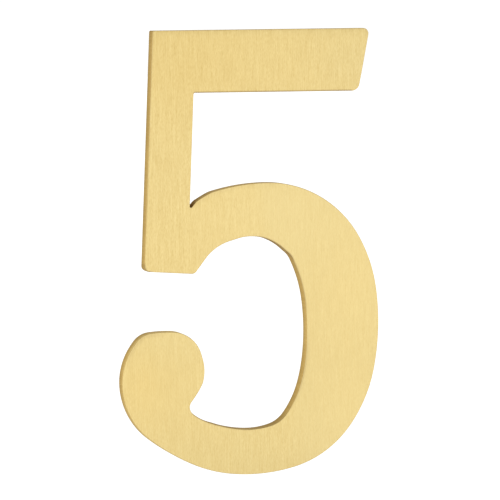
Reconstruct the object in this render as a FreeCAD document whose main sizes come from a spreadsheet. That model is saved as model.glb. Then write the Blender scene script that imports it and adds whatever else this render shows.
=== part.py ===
import FreeCAD, Part
import math
import os
import Sketcher

# Brass door number: the numeral five, cut from one flat plate.
#
# Frame, in millimetres: +X is to the reader's right, +Z is up and the front
# face looks along -Y. The back face, which lies flat on the door, is Y = 0.
# The origin is on the back face, halfway across the numeral's width and in
# the middle of the stroke that springs from the stem.

NODE = "numeral_plate"

doc = FreeCAD.newDocument("door_number")
sheet = doc.addObject("Spreadsheet::Sheet", "dims")

# The plate, its straight strokes and its corners.
PLATE = [
    ("plate_thick", 3.2, "thickness of the plate"),
    ("arris_r", 0.15, "rounding of the front face's edge"),
    ("bar_top_z", 41.0, "height of the bar's top edge"),
    ("bar_depth", 14.139, "depth of the bar beside the stem"),
    ("bar_under_angle", 179.731, "direction of the bar's lower edge"),
    ("bar_end_angle", 78.744, "slant of the bar's free end"),
    ("bar_end_x", 26.398, "lower end of the bar's slanted end"),
    ("stem_angle", 87.208, "lean of the stem's outer edge"),
    ("stem_low_x", -24.869, "lower end of the stem's outer edge"),
    ("stem_width", 10.062, "width of the stem under the bar"),
    ("stem_in_angle", 87.266, "lean of the stem's inner edge"),
    ("foot_angle", 175.579, "slope of the stem's foot"),
    ("foot_z", -13.359, "left end of the stem's foot"),
    ("foot_rise_angle", 52.206, "direction of the edge that leaves the foot"),
    ("notch_angle", 50.0, "direction of the edge that enters the notch"),
    ("corner_top_left_r", 0.35, "corner of bar and stem"),
    ("corner_foot_left_r", 1.2, "outer corner of the foot"),
    ("corner_foot_right_r", 1.3, "inner corner of the foot"),
    ("corner_notch_r", 0.25, "root of the notch between stem and bowl"),
    ("corner_under_bar_r", 0.4, "inside corner under the bar"),
    ("corner_bar_low_r", 1.95, "lower corner of the bar's end"),
    ("corner_bar_top_r", 1.3, "upper corner of the bar's end"),
]

# The edge of the numeral, anticlockwise as it is read, from the right-hand
# end of the bar's top. Straight strokes and corners take their size from the
# table above. Each curve starts at a station (x, z) and has a radius: over 0
# where the edge bulges, under 0 where it is hollow, 0 where it runs straight.
EDGE = [
    ("bar_top", "straight"),
    ("corner_top_left", "corner"),
    ("stem_outer", "straight"),
    ("corner_foot_left", "corner"),
    ("foot", "straight"),
    ("corner_foot_right", "corner"),
    ("foot_rise", "straight"),
    ("inner_a", -10.612, -10.818, -11.005),
    ("inner_b", -4.861, -6.959, 0.0),
    ("inner_c", -2.885, -6.408, -10.805),
    ("inner_d", 3.471, -6.571, -12.207),
    ("inner_e", 7.664, -8.994, 0.0),
    ("inner_f", 8.933, -10.116, -4.362),
    ("inner_g", 9.968, -11.478, -30.668),
    ("inner_h", 12.831, -21.191, -53.351),
    ("inner_i", 12.785, -34.409, -37.576),
    ("inner_j", 11.647, -39.939, -21.773),
    ("inner_k", 8.086, -47.083, -6.801),
    ("inner_l", 4.692, -49.475, -16.336),
    ("inner_m", -0.699, -50.214, -26.365),
    ("inner_n", -8.861, -48.650, 6.863),
    ("inner_o", -9.276, -48.514, -13.779),
    ("neck", -13.973, -46.087, -1.954),
    ("ball_a", -14.275, -43.322, 23.334),
    ("ball_b", -11.860, -39.717, 4.513),
    ("ball_c", -11.443, -38.641, 9.850),
    ("ball_d", -11.488, -33.770, 56.738),
    ("ball_e", -11.871, -32.394, 7.251),
    ("ball_f", -18.424, -27.187, 33.080),
    ("ball_g", -23.473, -27.290, 5.134),
    ("ball_h", -27.037, -29.257, 21.121),
    ("ball_i", -28.186, -30.896, 14.544),
    ("ball_j", -30.418, -39.438, 16.641),
    ("outer_a", -24.106, -51.625, 48.160),
    ("outer_b", -13.969, -57.764, 31.709),
    ("outer_c", -4.824, -60.305, 40.567),
    ("outer_d", 9.802, -59.413, 24.299),
    ("outer_e", 23.416, -50.393, 32.698),
    ("outer_f", 29.237, -37.549, 55.599),
    ("outer_g", 29.962, -18.800, 33.603),
    ("outer_h", 26.005, -6.838, 25.375),
    ("outer_i", 9.482, 5.556, 22.891),
    ("outer_j", 4.881, 6.125, 45.798),
    ("outer_k", -8.881, 4.317, 2.503),
    ("outer_l", -9.288, 4.159, 37.340),
    ("notch_turn", -12.246, 2.534, 3.060),
    ("notch_in", -12.982, 1.875, 0.0),
    ("corner_notch", "corner"),
    ("stem_inner", "straight"),
    ("corner_under_bar", "corner"),
    ("bar_under", "straight"),
    ("corner_bar_low", "corner"),
    ("bar_end", "straight"),
    ("corner_bar_top", "corner"),
]

# Where the corners begin to be drawn, before the constraints place them.
START = {
    "bar_top": (27.348, 41.0),
    "corner_top_left": (-21.945, 41.0),
    "stem_outer": (-22.295, 40.667),
    "corner_foot_left": (-24.869, -12.103),
    "foot": (-23.761, -13.359),
    "corner_foot_right": (-13.914, -14.120),
    "foot_rise": (-12.785, -13.620),
    "corner_notch": (-13.678, 1.046),
    "stem_inner": (-14.119, 1.218),
    "corner_under_bar": (-12.913, 26.480),
    "bar_under": (-12.512, 26.861),
    "corner_bar_low": (24.474, 26.688),
    "bar_end": (26.398, 28.259),
    "corner_bar_top": (28.624, 39.444),
}
HOLLOW_CORNERS = ("corner_notch", "corner_under_bar")
# Straight edges that are drawn against the order of travel, so that their
# direction is an angle between 0 and 180 degrees.
AGAINST = ("bar_top", "stem_outer", "foot", "notch_in", "bar_under")

# ---------------------------------------------------------------- the sheet
values = {}
row = 1


def cell(name, value, note):
    global row
    sheet.set("A%d" % row, name)
    sheet.set("B%d" % row, "%.3f" % value)
    sheet.set("C%d" % row, note)
    sheet.setAlias("B%d" % row, name)
    values[name] = value
    row += 1


for name, value, note in PLATE:
    cell(name, value, note)
for entry in EDGE:
    if len(entry) == 4:
        cell(entry[0] + "_x", entry[1], "station of the edge, across")
        cell(entry[0] + "_z", entry[2], "station of the edge, up")
        if entry[3]:
            cell(entry[0] + "_r", abs(entry[3]), "radius of the curve from there")
doc.recompute()

# ------------------------------------------------------- the numeral's body
body = doc.addObject("PartDesign::Body", "numeral")
body.Label = NODE
body.Placement = FreeCAD.Placement()

sketch = body.newObject("Sketcher::SketchObject", "outline")
plane = [f for f in body.Origin.OriginFeatures if f.Role == "XZ_Plane"][0]
sketch.AttachmentSupport = [(plane, "")]
sketch.MapMode = "FlatFace"
doc.recompute()

count = len(EDGE)
names = [entry[0] for entry in EDGE]
points = [START[e[0]] if len(e) == 2 else (e[1], e[2]) for e in EDGE]
ends = {}  # which end of each edge comes first, and which comes last
index = {}


def arc(p, q, radius):
    """The circular edge from p to q, over 0 turning left and under 0 turning right."""
    dx, dz = q[0] - p[0], q[1] - p[1]
    chord = math.hypot(dx, dz)
    rise = math.sqrt(max(radius * radius - chord * chord / 4.0, 0.0))
    side = 1.0 if radius > 0 else -1.0
    cx = (p[0] + q[0]) / 2.0 - side * dz / chord * rise
    cz = (p[1] + q[1]) / 2.0 + side * dx / chord * rise
    a = math.atan2(p[1] - cz, p[0] - cx)
    b = math.atan2(q[1] - cz, q[0] - cx)
    if radius < 0:
        a, b = b, a
    if b < a:
        b += 2.0 * math.pi
    circle = Part.Circle(
        FreeCAD.Vector(cx, cz, 0), FreeCAD.Vector(0, 0, 1), abs(radius)
    )
    return Part.ArcOfCircle(circle, a, b)


for i, entry in enumerate(EDGE):
    name = entry[0]
    p, q = points[i], points[(i + 1) % count]
    if len(entry) == 4:
        radius = entry[3]
    elif entry[1] == "corner":
        radius = values[name + "_r"]
        if name in HOLLOW_CORNERS:
            radius = -radius
    else:
        radius = 0.0
    if radius:
        shape = arc(p, q, radius)
        ends[name] = (1, 2) if radius > 0 else (2, 1)
    elif name in AGAINST:
        shape = Part.LineSegment(
            FreeCAD.Vector(q[0], q[1], 0), FreeCAD.Vector(p[0], p[1], 0)
        )
        ends[name] = (2, 1)
    else:
        shape = Part.LineSegment(
            FreeCAD.Vector(p[0], p[1], 0), FreeCAD.Vector(q[0], q[1], 0)
        )
        ends[name] = (1, 2)
    index[name] = sketch.addGeometry(shape, False)


def dimension(name, *what):
    """A named dimension of the sketch that a cell of the sheet drives."""
    number = sketch.addConstraint(Sketcher.Constraint(*what))
    sketch.renameConstraint(number, name)
    sketch.setExpression("Constraints." + name, "dims." + name)


# Each edge joins the next. A corner is also tangent to both its neighbours.
for i, entry in enumerate(EDGE):
    after = EDGE[(i + 1) % count]
    kind = (
        "Tangent"
        if "corner" in (entry[1], after[1]) and entry[0] != after[0]
        else "Coincident"
    )
    sketch.addConstraint(
        Sketcher.Constraint(
            kind,
            index[entry[0]],
            ends[entry[0]][1],
            index[after[0]],
            ends[after[0]][0],
        )
    )

# The stations and radii of the curves.
for entry in EDGE:
    name = entry[0]
    if len(entry) == 4:
        dimension(name + "_x", "DistanceX", index[name], ends[name][0], entry[1])
        dimension(name + "_z", "DistanceY", index[name], ends[name][0], entry[2])
        if entry[3]:
            dimension(name + "_r", "Radius", index[name], abs(entry[3]))
    elif entry[1] == "corner":
        dimension(name + "_r", "Radius", index[name], values[name + "_r"])

# The straight strokes: a direction and a position each.
for name, angle in (
    ("stem_outer", "stem_angle"),
    ("foot", "foot_angle"),
    ("foot_rise", "foot_rise_angle"),
    ("notch_in", "notch_angle"),
    ("stem_inner", "stem_in_angle"),
    ("bar_under", "bar_under_angle"),
    ("bar_end", "bar_end_angle"),
):
    dimension(angle, "Angle", index[name], math.radians(values[angle]))
sketch.addConstraint(Sketcher.Constraint("Horizontal", index["bar_top"]))
dimension(
    "bar_top_z", "DistanceY", index["bar_top"], ends["bar_top"][0], values["bar_top_z"]
)
dimension(
    "stem_low_x",
    "DistanceX",
    index["stem_outer"],
    ends["stem_outer"][1],
    values["stem_low_x"],
)
dimension("foot_z", "DistanceY", index["foot"], ends["foot"][0], values["foot_z"])
dimension(
    "bar_end_x", "DistanceX", index["bar_end"], ends["bar_end"][0], values["bar_end_x"]
)
dimension(
    "stem_width",
    "Distance",
    index["stem_inner"],
    ends["stem_inner"][1],
    index["stem_outer"],
    values["stem_width"],
)
dimension(
    "bar_depth",
    "Distance",
    index["bar_under"],
    ends["bar_under"][0],
    index["bar_top"],
    values["bar_depth"],
)
doc.recompute()

# The plate grows from the back face towards the reader.
pad = body.newObject("PartDesign::Pad", "plate")
pad.Profile = sketch
pad.setExpression("Length", "dims.plate_thick")
doc.recompute()

# The front face's edge is eased all round; the back edge stays as it was cut.
front = None
for number, face in enumerate(pad.Shape.Faces):
    if face.Surface.TypeId == "Part::GeomPlane" and face.normalAt(0, 0).y < -0.999:
        front = "Face%d" % (number + 1)
arris = body.newObject("PartDesign::Fillet", "front_arris")
arris.Base = (pad, [front])
arris.setExpression("Radius", "dims.arris_r")
doc.recompute()
body.Tip = arris
doc.recompute()

# ------------------------------------------------------------------ results
for obj in doc.Objects:
    if "Invalid" in obj.State or "Error" in obj.State:
        raise RuntimeError("%s: %s" % (obj.Name, obj.State))
if sketch.solve() != 0 or not sketch.FullyConstrained:
    raise RuntimeError("the outline isn't fully determined")
shape = body.Shape
if shape.isNull() or not shape.isValid() or len(shape.Solids) != 1:
    raise RuntimeError("the plate isn't one valid solid")

os.makedirs("parts", exist_ok=True)
shape.exportStep("parts/%s.step" % body.Label)
box = shape.optimalBoundingBox()
print("%s: %.3f x %.3f x %.3f mm" % (NODE, box.XLength, box.YLength, box.ZLength))
print("low (%.3f, %.3f, %.3f)" % (box.XMin, box.YMin, box.ZMin))
print("volume %.1f mm3, %d faces" % (shape.Volume, len(shape.Faces)))
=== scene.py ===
import math

import bpy
import numpy as np
from mathutils import Matrix, Vector
from mathutils.geometry import delaunay_2d_cdt


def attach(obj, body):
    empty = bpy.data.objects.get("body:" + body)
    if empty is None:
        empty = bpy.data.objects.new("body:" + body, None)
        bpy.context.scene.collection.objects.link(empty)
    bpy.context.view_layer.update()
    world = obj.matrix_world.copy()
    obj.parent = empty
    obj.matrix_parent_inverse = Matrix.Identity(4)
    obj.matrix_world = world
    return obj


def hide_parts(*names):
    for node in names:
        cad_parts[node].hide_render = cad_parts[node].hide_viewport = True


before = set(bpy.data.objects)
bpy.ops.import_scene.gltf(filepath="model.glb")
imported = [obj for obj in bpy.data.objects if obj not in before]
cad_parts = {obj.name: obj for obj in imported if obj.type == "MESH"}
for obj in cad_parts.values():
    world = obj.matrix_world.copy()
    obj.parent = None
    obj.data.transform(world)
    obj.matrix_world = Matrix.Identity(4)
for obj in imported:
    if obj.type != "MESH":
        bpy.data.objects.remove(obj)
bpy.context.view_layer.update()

scene = bpy.context.scene

# ---------------------------------------------------------------- the numeral
# The plate's edge, anticlockwise as it is read, in millimetres: where each
# stretch begins (x across, z up) and its radius, over 0 where the edge bulges,
# under 0 where it is hollow and 0 where it runs straight.
EDGE = [
    ("bar_top", 27.348, 41.000, 0.0),
    ("corner_top_left", -21.945, 41.000, 0.35),
    ("stem_outer", -22.295, 40.667, 0.0),
    ("corner_foot_left", -24.869, -12.103, 1.2),
    ("foot", -23.761, -13.359, 0.0),
    ("corner_foot_right", -13.914, -14.120, 1.3),
    ("foot_rise", -12.785, -13.620, 0.0),
    ("inner_a", -10.612, -10.818, -11.005),
    ("inner_b", -4.861, -6.959, 0.0),
    ("inner_c", -2.885, -6.408, -10.805),
    ("inner_d", 3.471, -6.571, -12.207),
    ("inner_e", 7.664, -8.994, 0.0),
    ("inner_f", 8.933, -10.116, -4.362),
    ("inner_g", 9.968, -11.478, -30.668),
    ("inner_h", 12.831, -21.191, -53.351),
    ("inner_i", 12.785, -34.409, -37.576),
    ("inner_j", 11.647, -39.939, -21.773),
    ("inner_k", 8.086, -47.083, -6.801),
    ("inner_l", 4.692, -49.475, -16.336),
    ("inner_m", -0.699, -50.214, -26.365),
    ("inner_n", -8.861, -48.650, 6.863),
    ("inner_o", -9.276, -48.514, -13.779),
    ("neck", -13.973, -46.087, -1.954),
    ("ball_a", -14.275, -43.322, 23.334),
    ("ball_b", -11.860, -39.717, 4.513),
    ("ball_c", -11.443, -38.641, 9.850),
    ("ball_d", -11.488, -33.770, 56.738),
    ("ball_e", -11.871, -32.394, 7.251),
    ("ball_f", -18.424, -27.187, 33.080),
    ("ball_g", -23.473, -27.290, 5.134),
    ("ball_h", -27.037, -29.257, 21.121),
    ("ball_i", -28.186, -30.896, 14.544),
    ("ball_j", -30.418, -39.438, 16.641),
    ("outer_a", -24.106, -51.625, 48.160),
    ("outer_b", -13.969, -57.764, 31.709),
    ("outer_c", -4.824, -60.305, 40.567),
    ("outer_d", 9.802, -59.413, 24.299),
    ("outer_e", 23.416, -50.393, 32.698),
    ("outer_f", 29.237, -37.549, 55.599),
    ("outer_g", 29.962, -18.800, 33.603),
    ("outer_h", 26.005, -6.838, 25.375),
    ("outer_i", 9.482, 5.556, 22.891),
    ("outer_j", 4.881, 6.125, 45.798),
    ("outer_k", -8.881, 4.317, 2.503),
    ("outer_l", -9.288, 4.159, 37.340),
    ("notch_turn", -12.246, 2.534, 3.060),
    ("notch_in", -12.982, 1.875, 0.0),
    ("corner_notch", -13.679, 1.045, -0.25),
    ("stem_inner", -14.120, 1.218, 0.0),
    ("corner_under_bar", -12.913, 26.480, -0.4),
    ("bar_under", -12.512, 26.861, 0.0),
    ("corner_bar_low", 24.474, 26.688, 1.95),
    ("bar_end", 26.398, 28.259, 0.0),
    ("corner_bar_top", 28.624, 39.444, 1.3),
]
THICK = 3.2  # of the plate
ARRIS = 0.15  # rounding of the front edge
BACK_BREAK = 0.05  # the back edge as the file left it
STEP = 0.36  # spacing of the points along the edge
TURN = math.radians(5.0)  # and the most that the edge turns between two of them
MM = 0.001


def outline():
    """Points along the edge, their outward normals, how far along they are, and which stretch each is on."""
    at, out, which = [], [], []
    for i, (_, x, z, r) in enumerate(EDGE):
        p = np.array((x, z))
        q = np.array(EDGE[(i + 1) % len(EDGE)][1:3])
        chord = q - p
        length = np.linalg.norm(chord)
        along = chord / length
        if r == 0.0:
            n = max(2, math.ceil(length / STEP))
            for k in range(n):
                at.append(p + chord * k / n)
                out.append(np.array((along[1], -along[0])))
                which.append(i)
            last = np.array((along[1], -along[0]))
        else:
            side = math.copysign(1.0, r)
            rise = math.sqrt(max(r * r - length * length / 4.0, 0.0))
            middle = (p + q) / 2.0 + side * rise * np.array((-along[1], along[0]))
            a = math.atan2(*(p - middle)[::-1])
            sweep = side * 2.0 * math.asin(min(1.0, length / 2.0 / abs(r)))
            n = max(2, math.ceil(abs(sweep * r) / STEP), math.ceil(abs(sweep) / TURN))
            for k in range(n + 1):
                b = a + sweep * k / n
                radial = np.array((math.cos(b), math.sin(b)))
                if k < n:
                    at.append(middle + abs(r) * radial)
                    out.append(side * radial)
                    which.append(i)
                else:
                    last = side * radial
        out.append(last)  # kept for the joint with the next stretch
        at.append(None)
        which.append(i)
    # Two stretches share the normal at their joint.
    points, normals, stretch = [], [], []
    before = out[-1]
    for p, n, w in zip(at, out, which):
        if p is None:
            before = n
            continue
        if before is not None:
            n = n + before
            before = None
        points.append(p)
        normals.append(n / np.linalg.norm(n))
        stretch.append(w)
    points, normals = np.array(points), np.array(normals)
    steps = np.linalg.norm(np.roll(points, -1, 0) - points, axis=1)
    return points, normals, np.concatenate([[0.0], np.cumsum(steps)]), stretch


RIM, NORMAL, RUN, STRETCH = outline()
COUNT = len(RIM)
NAMES = [EDGE[i][0] for i in STRETCH]

# The section of the edge, from the back face round to the front face: how far
# in from the outline, how far from the back, and the lean of the normal from
# the wall towards the front (under 0 towards the back). The last two rows lie
# on the face, just inside the rounding.
SECTION = []
for k in range(4):
    a = math.radians(-90.0 + 30.0 * k)
    SECTION.append((BACK_BREAK * (1.0 - math.cos(a)), BACK_BREAK * (1.0 + math.sin(a)), a))
for k in range(1, 8):
    SECTION.append((0.0, BACK_BREAK + (THICK - ARRIS - BACK_BREAK) * k / 8.0, 0.0))
WALL_TOP = len(SECTION)
for k in range(9):
    a = math.radians(90.0 * k / 8.0)
    SECTION.append(
        (ARRIS * (1.0 - math.cos(a)), THICK - ARRIS + ARRIS * math.sin(a), a)
    )
SECTION.append((ARRIS + 0.12, THICK, math.pi / 2.0))
SECTION.append((ARRIS + 0.27, THICK, math.pi / 2.0))
ROWS = len(SECTION)


def smooth(x, low, high):
    t = np.clip((x - low) / (high - low), 0.0, 1.0)
    return t * t * (3.0 - 2.0 * t)


def near(names, reach):
    """1 on the named stretches of the edge, fading to 0 within reach of their ends, in millimetres."""
    on = np.array([n in names for n in NAMES])
    total = RUN[-1]
    where = RUN[:-1]
    gap = np.full(COUNT, 1e9)
    for w in where[on]:
        d = np.abs(where - w)
        gap = np.minimum(gap, np.minimum(d, total - d))
    return 1.0 - smooth(gap, 0.0, reach)


def names_from(*starts):
    return {e[0] for e in EDGE if e[0].startswith(starts)}


# The cut edge isn't one tone: painted shade darkens it where it faces up or down
# inside the bowl and most in the root of the notch, painted light lifts it round
# the ball, and some other stretches are set a little darker or lighter. Where the
# painted shade is deepest the edge is also rougher.
up = np.clip(NORMAL[:, 1], 0.0, 1.0)
down = np.clip(-NORMAL[:, 1], 0.0, 1.0)
across = np.abs(NORMAL[:, 0])
inside = near(names_from("inner") | {"neck"}, 2.0)
ball = near(names_from("ball"), 2.0)
arch = near(names_from("outer_i", "outer_j", "outer_k", "outer_l", "notch"), 2.0)
root = RUN[NAMES.index("stem_inner")]  # the notch ends here
from_root = np.where(RUN[:-1] <= root, root - RUN[:-1], 1e3)
sunk = np.exp(-from_root / 4.0)
SHADE_AND_DULL = (
    inside * (-0.08 + 0.52 * up + 0.76 * down)
    + ball * (-0.08 + 0.18 * up * across - 0.10 * down)
    + arch * (0.12 + 0.12 * across + 0.85 * sunk - 0.24 * np.exp(-from_root / 0.9))
    + near({"stem_outer"}, 1.0) * (0.11 + 0.0035 * (RIM[:, 1] - 14.0))
    + 0.33 * near({"corner_foot_left"}, 1.0)
    + 0.06 * near({"inner_d"}, 1.5)
    + 0.09 * near({"inner_f"}, 1.5)
    - 0.08 * near({"inner_k"}, 3.0)
    + 0.07 * near({"inner_m"}, 2.0)
    - 0.30 * near({"ball_e"}, 2.5)
    + 0.02 * near({"ball_i", "ball_j"}, 3.0)
    - 0.10 * near(names_from("outer_a", "outer_b", "outer_c"), 2.0)
)
SHADE_AND_DULL = np.clip(SHADE_AND_DULL, -0.5, 1.0)
# How much of that painted shade is lifted again towards the front, as painted light.
PAINTED_FRONT_LIFT = (
    0.40 * near({"ball_f", "ball_g", "ball_h"}, 3.0)
    + 0.20 * near({"outer_j", "outer_k", "outer_l"}, 3.0)
    + 0.07 * near({"ball_i"}, 3.0)
    - 0.10 * near({"inner_g"}, 2.0)
)

# A darker line of painted shade runs along some of the front edge: where it is,
# how softly it ends, and how dark it is on the rounding and on the two rows of
# the face inside it.
SHADE_MARKS = [
    ({"bar_under"}, 0.8, 1.00, 0.38, 0.0),
    ({"bar_top", "corner_top_left", "corner_bar_top"}, 0.8, 0.05, 0.20, 0.08),
    ({"corner_foot_left"}, 1.2, 0.90, 0.20, 0.0),
    ({"inner_d", "inner_e"}, 3.5, 1.00, 0.25, 0.0),
    ({"inner_g"}, 4.0, 0.55, 0.14, 0.0),
    ({"inner_i"}, 9.0, 0.35, 0.35, 0.11),
    ({"inner_k"}, 3.0, 0.30, 0.0, 0.0),
    ({"inner_m"}, 2.0, 0.30, 0.06, 0.0),
    ({"inner_n", "inner_o"}, 1.5, 0.65, 0.18, 0.0),
    ({"ball_g", "ball_h"}, 4.0, 0.0, 0.22, 0.19),
    ({"outer_j", "outer_k", "outer_l"}, 3.0, 0.0, 0.11, 0.09),
    ({"outer_a"}, 3.0, 0.30, 0.0, 0.0),
]
SHADE_LINES = [sum(m[2 + k] * near(m[0], m[1]) for m in SHADE_MARKS) for k in range(3)]
# More painted shade along the outer edge of the stem and into the root of the notch.
SHADE_LINES[0] = (
    SHADE_LINES[0]
    + 0.35 * near({"stem_outer"}, 1.5) * smooth(RIM[:, 1], -14.0, 4.0)
    + 0.9 * np.exp(-from_root / 1.2) * near({"notch_in", "notch_turn"}, 0.3)
)
SHADE_LINES[1] = SHADE_LINES[1] + 0.10 * near({"stem_outer"}, 1.5) * smooth(RIM[:, 1], -6.0, 8.0)
SHADE_LINES = np.clip(SHADE_LINES, 0.0, 1.0)

vertices, normals, shade_and_dull, shade_line = [], [], [], []
tight = near({"corner_top_left"}, 0.8)  # sharper than the inner rows are deep
for row, (inset, depth, lean) in enumerate(SECTION):
    ring = RIM - NORMAL * (inset - tight * max(0.0, inset - 0.3))[:, None]
    c, s = math.cos(lean), math.sin(lean)
    vertices += [(x, -depth, z) for x, z in ring]
    normals += [(n[0] * c, -s, n[1] * c) for n in NORMAL]
    shade_and_dull += list(SHADE_AND_DULL - PAINTED_FRONT_LIFT * smooth(depth, 1.4, 3.0))
    fade = 1.0 - 0.3 * smooth(math.degrees(lean), 45.0, 90.0) if row < ROWS - 2 else 1.0
    shade_line += list(fade * SHADE_LINES[max(0, row - ROWS + 3)])

faces, kinds = [], []
FACE, CUT, BACK = 0, 1, 2
for row in range(ROWS - 1):
    kind = CUT if row < WALL_TOP + 3 else FACE
    for i in range(COUNT):
        j = (i + 1) % COUNT
        faces.append((row * COUNT + i, row * COUNT + j, (row + 1) * COUNT + j, (row + 1) * COUNT + i))
        kinds.append(kind)


def inner_points(rim, spacing):
    """Points to fill a face with: a staggered grid, clear of the rim."""
    low, high = rim.min(0), rim.max(0)
    rows = []
    z, odd = low[1] + spacing / 2.0, False
    while z < high[1]:
        x = np.arange(low[0] + (spacing / 2.0 if odd else 0.0), high[0], spacing)
        rows.append(np.stack([x, np.full(len(x), z)], 1))
        z += spacing * 0.866
        odd = not odd
    grid = np.concatenate(rows)
    a, b = rim, np.roll(rim, -1, 0)
    keep = []
    for p in grid:
        crosses = (a[:, 1] > p[1]) != (b[:, 1] > p[1])
        with np.errstate(divide="ignore", invalid="ignore"):
            cut = a[:, 0] + (p[1] - a[:, 1]) * (b[:, 0] - a[:, 0]) / (b[:, 1] - a[:, 1])
        if np.count_nonzero(crosses & (cut > p[0])) % 2:
            gap = np.hypot(*(rim - p).T).min()
            if gap > 0.55 * spacing:
                keep.append(p)
    return np.array(keep)


def fill(row, y, towards, kind, spacing):
    """Closes the ring of that row with a flat face."""
    base = row * COUNT
    rim = np.array([(vertices[base + i][0], vertices[base + i][2]) for i in range(COUNT)])
    more = inner_points(rim, spacing)
    flat = [Vector(p) for p in rim] + [Vector(p) for p in more]
    ring = [(i, (i + 1) % COUNT) for i in range(COUNT)]
    spots, _, made, origin, _, _ = delaunay_2d_cdt(flat, ring, [], 1, 1e-7)
    number = []
    for k, spot in enumerate(spots):
        source = origin[k][0] if origin[k] else -1
        if 0 <= source < COUNT:
            number.append(base + source)
        else:
            number.append(len(vertices))
            vertices.append((spot[0], y, spot[1]))
            normals.append((0.0, towards, 0.0))
            shade_and_dull.append(0.0)
            shade_line.append(0.0)
    for tri in made:
        a, b, c = (Vector((spots[k][0], spots[k][1])) for k in tri)
        turns_left = (b - a).cross(c - a) > 0.0
        corners = [number[k] for k in tri]
        if turns_left == (towards > 0.0):
            corners.reverse()
        faces.append(tuple(corners))
        kinds.append(kind)


fill(ROWS - 1, -THICK, -1.0, FACE, 0.8)
fill(0, 0.0, 1.0, BACK, 1.6)

mesh = bpy.data.meshes.new("door_numeral")
mesh.from_pydata([(x * MM, y * MM, z * MM) for x, y, z in vertices], [], faces)
mesh.polygons.foreach_set("material_index", kinds)
mesh.polygons.foreach_set("use_smooth", [True] * len(faces))


def bell(x, z, wide, high):
    """A soft round spot on the face, 1 in its middle, in millimetres."""
    return np.exp(-0.5 * (((spot_x - x) / wide) ** 2 + ((spot_z - z) / high) ** 2))


# The brush pressed hardest on the bar and the stem and lightest down the right
# of the bowl and on the ball.
spot_x, spot_z = np.array(vertices)[:, 0], np.array(vertices)[:, 2]
low_part = 1.0 - smooth(spot_z, 2.0, 12.0)
right_part = low_part * smooth(spot_x + 0.15 * spot_z, 0.0, 6.0)
left_arm = smooth(-spot_x, 10.0, 16.0) * smooth(spot_z, -22.0, -16.0)
press = (
    1.0
    - 0.10 * smooth(spot_z, 20.0, 28.0)
    - 0.26 * low_part * (1.0 - left_arm)
    - 0.32 * right_part
    - 0.28 * bell(-22.0, -38.0, 5.5, 7.0)
    + 0.12 * bell(-4.0, -55.0, 16.0, 5.0)
)
# Partly painted sheen: the colour is whiter across the bowl and down its right, where a highlight would whiten the
# brass; it is also whiter along the bottom, on top of the ball and at the bar's right end, and warmer at the top left
# of the bar and on the ball.
tint_and_sheen = (
    1.05 * bell(-18.0, 35.0, 16.0, 9.0)
    + 0.8 * bell(-26.0, -38.0, 4.0, 6.0)
    - 0.65 * right_part
    - 0.7 * bell(8.0, 0.0, 14.0, 9.0)
    - 0.45 * bell(3.0, -56.0, 22.0, 5.0)
    - 0.8 * bell(-20.0, -29.0, 8.0, 4.0)
    - 0.6 * bell(25.0, 34.0, 6.0, 6.0)
)
# Painted light and shade on the face: lighter across the bowl, down its right and a little on the ball, darker at the
# top left of the bar, along its top edge and along the bottom.
painted_light_and_shade = (
    0.042 * bell(10.0, -1.0, 14.0, 9.0)
    + 0.038 * bell(25.0, -20.0, 7.0, 10.0)
    + 0.042 * bell(24.0, -49.0, 7.0, 8.0)
    + 0.02 * bell(-28.0, -43.0, 4.0, 6.0)
    + 0.01 * bell(-13.0, -40.0, 4.0, 6.0)
    + 0.012 * bell(-20.0, -29.0, 8.0, 3.0)
    - 0.022 * bell(-20.0, 36.0, 10.0, 6.0)
    - 0.045 * bell(2.0, -61.0, 14.0, 3.5)
    - 0.016 * bell(-12.0, -53.0, 12.0, 4.0)
    - 0.02 * smooth(spot_z, 38.8, 40.2)
)
for name, values in (("shade_and_dull", shade_and_dull), ("shade_line", shade_line), ("press", press), ("tint_and_sheen", tint_and_sheen), ("painted_light_and_shade", painted_light_and_shade)):
    mesh.attributes.new(name, "FLOAT", "POINT").data.foreach_set("value", values)

# One map for the whole piece: the front face takes most of it, the back and
# the edge, cut into eight lengths, share the strip beside it.
SIDE = 1024.0
FRONT_AT, FRONT_SCALE = (8.0, 10.0), 9.6
BACK_AT, BACK_SCALE = (606.0, 340.0), 6.6
STRIPS, STRIP_AT, STRIP_LONG, STRIP_STEP = 8, (606.0, 12.0), 406.0, 40.0
low = RIM.min(0)
down_section = np.concatenate(
    [[0.0], np.cumsum([math.dist(SECTION[k][:2], SECTION[k + 1][:2]) for k in range(ROWS - 1)])]
)
strip_height = 31.0 / down_section[-1]
strip_length = RUN[-1] / STRIPS
uv = np.zeros((len(mesh.loops), 2))
for f, poly in enumerate(mesh.polygons):
    if f < (ROWS - 1) * COUNT:
        row, i = divmod(f, COUNT)
        strip = min(int((RUN[i] + RUN[i + 1]) / 2.0 / strip_length), STRIPS - 1)
        spots = ((i, row), (i + 1, row), (i + 1, row + 1), (i, row + 1))
        for loop, (k, r) in zip(poly.loop_indices, spots):
            uv[loop] = (
                STRIP_AT[0] + (RUN[k] / strip_length - strip) * STRIP_LONG,
                STRIP_AT[1] + strip * STRIP_STEP + down_section[r] * strip_height,
            )
    else:
        start, scale = (FRONT_AT, FRONT_SCALE) if kinds[f] == FACE else (BACK_AT, BACK_SCALE)
        for loop in poly.loop_indices:
            x, _, z = vertices[mesh.loops[loop].vertex_index]
            uv[loop] = (start[0] + (x - low[0]) * scale, start[1] + (z - low[1]) * scale)
layer = mesh.uv_layers.new(name="OFBake")
layer.data.foreach_set("uv", (uv / SIDE).ravel())
mesh.validate()
mesh.normals_split_custom_set_from_vertices(normals)
mesh.update()

numeral = bpy.data.objects.new("door_numeral", mesh)
scene.collection.objects.link(numeral)


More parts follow.
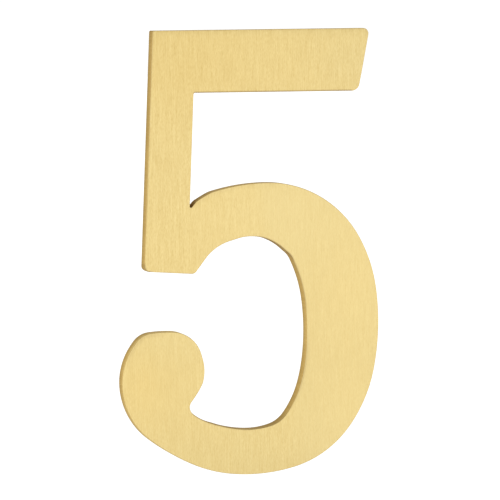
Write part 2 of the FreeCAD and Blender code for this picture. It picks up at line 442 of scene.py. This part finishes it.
# ------------------------------------------------------------------ materials
class Nodes:
    """A material's node tree, built a line at a time."""

    def __init__(self, name):
        self.material = bpy.data.materials.new(name)
        self.material.use_nodes = True
        self.tree = self.material.node_tree
        self.shader = self.tree.nodes["Principled BSDF"]
        self.place = self.add("ShaderNodeTexCoord").outputs["Object"]

    def add(self, kind, **settings):
        node = self.tree.nodes.new(kind)
        for key, value in settings.items():
            setattr(node, key, value)
        return node

    def put(self, value, socket):
        if isinstance(value, bpy.types.NodeSocket):
            self.tree.links.new(value, socket)
        else:
            socket.default_value = value

    def noise(self, scale, detail=2.0, roughness=0.5, seed=0.0):
        """Noise with so many cells a metre along x, y and z."""
        mapping = self.add("ShaderNodeMapping")
        self.put(self.place, mapping.inputs["Vector"])
        mapping.inputs["Scale"].default_value = scale
        mapping.inputs["Location"].default_value = (seed, seed * 0.7, seed * 1.3)
        node = self.add("ShaderNodeTexNoise", noise_dimensions="3D")
        self.put(mapping.outputs["Vector"], node.inputs["Vector"])
        node.inputs["Scale"].default_value = 1.0
        node.inputs["Detail"].default_value = detail
        node.inputs["Roughness"].default_value = roughness
        return node.outputs["Fac"]

    def math(self, operation, a, b=0.0, c=0.0, clamp=False):
        node = self.add("ShaderNodeMath", operation=operation, use_clamp=clamp)
        for value, socket in zip((a, b, c), node.inputs):
            self.put(value, socket)
        return node.outputs[0]

    def span(self, value, low, high, to_low, to_high, smooth_step=False):
        node = self.add(
            "ShaderNodeMapRange",
            interpolation_type="SMOOTHSTEP" if smooth_step else "LINEAR",
        )
        for v, socket in zip((value, low, high, to_low, to_high), node.inputs):
            self.put(v, socket)
        return node.outputs[0]

    def mix(self, amount, a, b, blend="MIX"):
        node = self.add("ShaderNodeMix", data_type="RGBA", blend_type=blend)
        node.clamp_factor = True
        self.put(amount, node.inputs["Factor"])
        self.put(a, node.inputs[6])
        self.put(b, node.inputs[7])
        return node.outputs[2]

    def attribute(self, name):
        return self.add("ShaderNodeAttribute", attribute_name=name).outputs["Fac"]

    def bump(self, height, strength, distance):
        node = self.add("ShaderNodeBump")
        node.inputs["Strength"].default_value = strength
        node.inputs["Distance"].default_value = distance
        self.put(height, node.inputs["Height"])
        self.put(node.outputs["Normal"], self.shader.inputs["Normal"])

    def finish(self, **sockets):
        for name, value in sockets.items():
            self.put(value, self.shader.inputs[name.replace("_", " ")])
        return self.material


def rgb(r, g, b):
    return (r, g, b, 1.0)


def brushed_face():
    """The face: brass brushed up and down, in lines of uneven length, with painted light, shade and sheen laid over
    it from the mesh's attributes.
    """
    n = Nodes("brass_brushed")
    hair = n.noise((8200.0, 300.0, 1300.0), 2.0, 0.55, 3.1)
    stroke = n.noise((7000.0, 300.0, 200.0), 2.0, 0.5, 11.7)
    band = n.noise((420.0, 300.0, 36.0), 2.0, 0.5, 23.3)
    cloud = n.noise((60.0, 60.0, 45.0), 2.0, 0.5, 41.9)
    lines = n.math("ADD", n.math("MULTIPLY", hair, 0.55), n.math("MULTIPLY", stroke, 0.45))
    tone = n.math("ADD", n.math("MULTIPLY", lines, 0.93), n.math("MULTIPLY", band, 0.07))
    tone = n.math("MULTIPLY_ADD", n.math("SUBTRACT", tone, 0.5), n.attribute("press"), 0.5)
    colour = n.mix(n.span(tone, 0.3, 0.7, 0.0, 1.0), rgb(0.762, 0.564, 0.212), rgb(0.956, 0.776, 0.366))
    # Random tint from the noise, and the painted sheen from the attribute.
    tint_and_sheen = n.math("MULTIPLY_ADD", cloud, 0.6, n.math("SUBTRACT", n.attribute("tint_and_sheen"), 0.3))
    colour = n.mix(n.span(tint_and_sheen, -1.25, 1.0, 0.0, 1.0), n.mix(1.0, colour, rgb(0.986, 1.010, 1.065), "MULTIPLY"), n.mix(1.0, colour, rgb(1.010, 0.992, 0.945), "MULTIPLY"))
    # Painted light and shade: the attribute makes the colour up to a tenth darker or lighter.
    darker, lighter = (n.mix(1.0, colour, rgb(v, v, v), "MULTIPLY") for v in (0.9, 1.1))
    colour = n.mix(n.span(n.attribute("painted_light_and_shade"), -0.1, 0.1, 0.0, 1.0), darker, lighter)
    # Painted shade: the line along the front edge darkens the colour towards dark brown.
    colour = n.mix(n.math("MULTIPLY", n.attribute("shade_line"), 0.8), colour, rgb(0.33, 0.21, 0.095))
    n.bump(lines, 0.5, 0.00015)
    return n.finish(
        Base_Color=colour,
        Metallic=1.0,
        Roughness=n.span(lines, 0.3, 0.7, 0.46, 0.38),
        Anisotropic=0.5,
        Specular_Tint=rgb(0.92, 0.82, 0.58),
    )


def cut_edge():
    """The cut edge: duller and browner than the face, streaked through the thickness, with painted shade darkest
    towards the back and in the root of the notch, and painted light round the ball.
    """
    n = Nodes("brass_cut")
    streak = n.noise((2600.0, 120.0, 2600.0), 3.0, 0.6, 5.3)
    patch = n.noise((160.0, 60.0, 160.0), 2.0, 0.5, 17.9)
    # Painted shade: the edge is darker at the back and lighter towards the face.
    depth = n.add("ShaderNodeSeparateXYZ")
    n.put(n.place, depth.inputs[0])
    front = n.span(depth.outputs["Y"], -0.0002, -0.0031, 0.0, 1.0)
    colour = n.mix(front, rgb(0.55, 0.375, 0.122), rgb(0.82, 0.570, 0.190))
    tone = n.math("ADD", n.math("MULTIPLY", streak, 0.55), n.math("MULTIPLY", patch, 0.45))
    colour = n.mix(n.span(tone, 0.3, 0.7, 0.0, 1.0), n.mix(0.30, colour, rgb(0.30, 0.18, 0.055)), colour)
    # Painted shade and light from the attribute: it darkens the edge towards dark brown, towards near black in the
    # root of the notch, and where it is under 0 lifts it towards pale brass.
    shade_and_dull = n.attribute("shade_and_dull")
    colour = n.mix(n.math("MULTIPLY", shade_and_dull, -1.0), colour, rgb(1.0, 0.80, 0.36))
    colour = n.mix(shade_and_dull, colour, rgb(0.26, 0.140, 0.032))
    colour = n.mix(n.span(shade_and_dull, 0.5, 1.0, 0.0, 0.75), colour, rgb(0.17, 0.062, 0.002))
    n.bump(streak, 0.5, 0.0001)
    return n.finish(
        Base_Color=colour,
        Metallic=1.0,
        Roughness=n.math("ADD", n.span(tone, 0.3, 0.7, 0.52, 0.42), n.span(shade_and_dull, 0.5, 1.0, 0.0, 0.4)),
        Specular_Tint=rgb(0.88, 0.80, 0.58),
    )


def plain_back():
    """The back: the sheet as it was rolled, with faint marks along its length."""
    n = Nodes("brass_back")
    roll = n.noise((900.0, 200.0, 45.0), 3.0, 0.55, 7.7)
    stain = n.noise((55.0, 55.0, 40.0), 3.0, 0.55, 29.1)
    colour = n.mix(n.span(roll, 0.3, 0.7, 0.0, 1.0), rgb(0.55, 0.400, 0.150), rgb(0.64, 0.475, 0.190))
    colour = n.mix(n.span(stain, 0.45, 0.75, 0.0, 0.5), colour, rgb(0.46, 0.315, 0.115))
    n.bump(roll, 0.5, 0.0001)
    return n.finish(
        Base_Color=colour,
        Metallic=1.0,
        Roughness=n.span(stain, 0.3, 0.7, 0.36, 0.46),
        Anisotropic=0.3,
    )


for material in (brushed_face(), cut_edge(), plain_back()):
    mesh.materials.append(material)

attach(numeral, "root")
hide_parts("numeral_plate")

# ---------------------------------------------------------------------- stage
# A pale floor, far enough below the hanging numeral to take no shadow.
FLOOR_Z, FLOOR_R = -1.2, 60.0
ring = [(FLOOR_R * math.cos(t * math.tau / 96), FLOOR_R * math.sin(t * math.tau / 96), FLOOR_Z) for t in range(96)]
floor_mesh = bpy.data.meshes.new("floor")
floor_mesh.from_pydata(ring, [], [tuple(range(96))])
floor = bpy.data.objects.new("floor", floor_mesh)
scene.collection.objects.link(floor)
pale = bpy.data.materials.new("pale_floor")
pale.use_nodes = True
shader = pale.node_tree.nodes["Principled BSDF"]
shader.inputs["Base Color"].default_value = rgb(0.86, 0.86, 0.86)
shader.inputs["Roughness"].default_value = 0.9
shader.inputs["Emission Color"].default_value = rgb(1.0, 1.0, 1.0)
shader.inputs["Emission Strength"].default_value = 0.7
shader.inputs["Specular IOR Level"].default_value = 0.0
floor_mesh.materials.append(pale)
floor.visible_glossy = False

# A white tent of soft light: brightest round the horizon, softer overhead.
world = bpy.data.worlds.new("studio")
scene.world = world
world.use_nodes = True
tree = world.node_tree
tree.nodes.clear()


def world_node(kind, **settings):
    node = tree.nodes.new(kind)
    for key, value in settings.items():
        setattr(node, key, value)
    return node


way = world_node("ShaderNodeTexCoord")
split = world_node("ShaderNodeSeparateXYZ")
tree.links.new(way.outputs["Generated"], split.inputs[0])
ramp = world_node("ShaderNodeValToRGB")
ramp.color_ramp.interpolation = "EASE"
stops = ramp.color_ramp.elements
stops[0].position, stops[0].color = 0.0, rgb(0.80, 0.80, 0.80)
stops[1].position, stops[1].color = 1.0, rgb(0.45, 0.45, 0.45)
for at, v in ((0.30, 1.0), (0.55, 1.05), (0.80, 0.6)):
    stops.new(at).color = rgb(v, v, v)
height = world_node("ShaderNodeMapRange")
tree.links.new(split.outputs["Z"], height.inputs[0])
for socket, v in zip(height.inputs[1:5], (-1.0, 1.0, 0.0, 1.0)):
    socket.default_value = v
tree.links.new(height.outputs[0], ramp.inputs[0])
tent = world_node("ShaderNodeBackground")
tree.links.new(ramp.outputs[0], tent.inputs["Color"])
tent.inputs["Strength"].default_value = 0.95
white = world_node("ShaderNodeBackground")
white.inputs["Color"].default_value = rgb(1.0, 1.0, 1.0)
white.inputs["Strength"].default_value = 1.05
path = world_node("ShaderNodeLightPath")
both = world_node("ShaderNodeMixShader")
tree.links.new(path.outputs["Is Camera Ray"], both.inputs[0])
tree.links.new(tent.outputs[0], both.inputs[1])
tree.links.new(white.outputs[0], both.inputs[2])
tree.links.new(both.outputs[0], world_node("ShaderNodeOutputWorld").inputs["Surface"])


def softbox(name, at, towards, size, watts):
    light = bpy.data.lights.new(name, "AREA")
    light.shape = "RECTANGLE"
    light.size, light.size_y = size
    light.energy = watts
    box = bpy.data.objects.new(name, light)
    box.location = at
    box.rotation_euler = (Vector(towards) - Vector(at)).to_track_quat("-Z", "Y").to_euler()
    scene.collection.objects.link(box)
    return box


softbox("key_softbox", (0.366, -1.148, -0.097), (0.018, 0.0, -0.008), (0.22, 0.22), 0.28)

# --------------------------------------------------------------------- camera
camera_data = bpy.data.cameras.new("camera")
camera_data.sensor_width = 36.0
camera_data.lens = 3118.0 / 500.0 * 36.0
camera_data.clip_start, camera_data.clip_end = 0.01, 200.0
camera = bpy.data.objects.new("camera", camera_data)
scene.collection.objects.link(camera)
right = Vector((0.963213, -0.268492, -0.011546))
upward = Vector((0.031585, 0.070435, 0.997016))
ahead = Vector((0.266877, 0.960703, -0.076324))
turn = Matrix((right, upward, -ahead)).transposed().to_4x4()
camera.matrix_world = Matrix.Translation((-0.1896114, -0.6852575, 0.0450819)) @ turn
scene.camera = camera

scene.view_settings.view_transform = "Standard"
scene.view_settings.look = "None"
